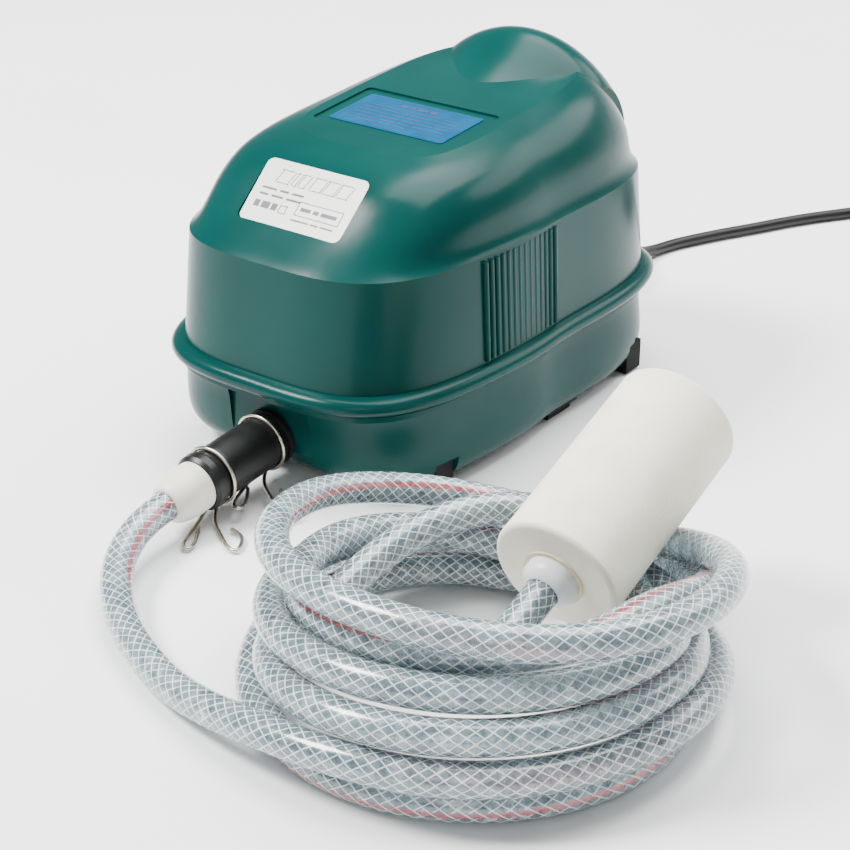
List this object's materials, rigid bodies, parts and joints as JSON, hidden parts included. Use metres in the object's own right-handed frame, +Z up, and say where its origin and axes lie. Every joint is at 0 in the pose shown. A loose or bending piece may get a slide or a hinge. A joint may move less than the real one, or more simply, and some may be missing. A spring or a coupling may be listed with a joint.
{
  "type": "linear diaphragm air pump",
  "caption": "Pond air pump: teal two-part casing, braided hose on a clamped outlet sleeve, coiled hose with an air stone, mains lead, and a linear diaphragm motor inside.",
  "frame": {"origin": "centre of the casing's footprint on the floor that the rubber feet stand on", "axes": "+Z up, -Y out of the air outlet (the front), +Y out of the mains lead gland (the rear), +X to the right for someone facing the front"},
  "size_m": [0.3091, 0.615, 0.1481],
  "materials": {
    "casing": "teal-green moulded casing plastic, fine satin gloss",
    "seal_rubber": "black moulded rubber",
    "foot_rubber": "dark grey moulded rubber",
    "screw_steel": "zinc-plated steel screws",
    "cap_plastic": "teal-green matt plastic",
    "foam": "open-cell filter foam",
    "silver_label": "silver printed film",
    "blue_label": "blue printed film",
    "black_plastic": "black moulded plastic",
    "sleeve_rubber": "black rubber sleeve",
    "wire_steel": "plated spring wire",
    "adapter_plastic": "ivory plastic",
    "hose_pvc": "clear PVC hose with white braid",
    "connector_plastic": "pale bluish translucent plastic",
    "glue": "beige set adhesive",
    "stone": "cream sintered porous mineral",
    "cord_black": "black flexible mains lead",
    "plug_plastic": "black moulded plug",
    "pin_brass": "plated brass",
    "frame_metal": "pressed aluminium frame",
    "mount_rubber": "soft rubber",
    "core_steel": "laminated electrical steel",
    "bobbin_plastic": "white nylon",
    "winding_copper": "enamelled copper winding",
    "rod_steel": "ground steel rod",
    "carrier_plastic": "dark grey moulded carrier",
    "magnet": "ferrite magnet",
    "diaphragm_rubber": "black moulded rubber diaphragm",
    "disc_steel": "pressed steel",
    "head_plastic": "black moulded plastic",
    "flap_rubber": "thin rubber valve flap",
    "terminal_plastic": "white plastic terminal strip"
  },
  "bodies": {
    "pump": {"top_cover": "casing", "base_tub": "casing", "cover_seal": "seal_rubber", "cover_screws": "screw_steel", "rubber_feet": "foot_rubber", "filter_cap": "cap_plastic", "filter_foam": "foam", "top_label": "blue_label", "front_label": "silver_label", "outlet_manifold": "black_plastic", "outlet_grommet": "seal_rubber", "outlet_sleeve": "sleeve_rubber", "clamp_inner": "wire_steel", "clamp_outer": "wire_steel", "hose_adapter": "adapter_plastic", "hose_lead": "hose_pvc", "hose_coil": "hose_pvc", "hose_tail": "hose_pvc", "stone_connector": "connector_plastic", "stone_seal": "glue", "air_stone": "stone", "cord_gland": "seal_rubber", "power_cord_run": "cord_black", "power_cord_coil": "cord_black", "power_cord_tail": "cord_black", "cord_tie": "black_plastic", "plug_body": "plug_plastic", "plug_pins": "pin_brass", "motor_frame": "frame_metal", "shock_mounts": "mount_rubber", "frame_screws": "screw_steel", "stator_cores": "core_steel", "core_bolts": "screw_steel", "bobbins": "bobbin_plastic", "windings": "winding_copper", "diaphragm_front": "diaphragm_rubber", "diaphragm_rear": "diaphragm_rubber", "head_front": "head_plastic", "head_rear": "head_plastic", "head_cover_front": "head_plastic", "head_cover_rear": "head_plastic", "head_screws": "screw_steel", "flap_retainers": "head_plastic", "front_elbow": "mount_rubber", "rear_air_tube": "mount_rubber", "terminal_block": "terminal_plastic", "inner_lead": "cord_black"},
    "armature": {"armature_rod": "rod_steel", "magnet_carrier": "carrier_plastic", "magnets": "magnet", "diaphragm_hubs": "diaphragm_rubber", "hub_discs": "disc_steel", "rod_nuts": "screw_steel"},
    "inlet_flap_front": {"inlet_flap_front": "flap_rubber"},
    "inlet_flap_rear": {"inlet_flap_rear": "flap_rubber"},
    "outlet_flap_front": {"outlet_flap_front": "flap_rubber"},
    "outlet_flap_rear": {"outlet_flap_rear": "flap_rubber"}
  },
  "joints": [
    {"name": "armature_slide", "type": "slide", "parent": "pump", "child": "armature", "axis": [0, 1, 0], "range_m": [-0.0025, 0.0025], "stiffness_N_per_m": 8000},
    {"name": "inlet_flap_front_swing", "type": "hinge", "parent": "pump", "child": "inlet_flap_front", "pos_m": [-0.012, -0.0656, 0.07], "axis": [1, 0, 0], "range_deg": [0, 15], "stiffness_Nm_per_rad": 0.002},
    {"name": "inlet_flap_rear_swing", "type": "hinge", "parent": "pump", "child": "inlet_flap_rear", "pos_m": [-0.012, 0.0656, 0.07], "axis": [-1, 0, 0], "range_deg": [0, 15], "stiffness_Nm_per_rad": 0.002},
    {"name": "outlet_flap_front_swing", "type": "hinge", "parent": "pump", "child": "outlet_flap_front", "pos_m": [0.012, -0.0704, 0.07], "axis": [-1, 0, 0], "range_deg": [0, 15], "stiffness_Nm_per_rad": 0.002},
    {"name": "outlet_flap_rear_swing", "type": "hinge", "parent": "pump", "child": "outlet_flap_rear", "pos_m": [0.012, 0.0704, 0.07], "axis": [1, 0, 0], "range_deg": [0, 15], "stiffness_Nm_per_rad": 0.002}
  ]
}
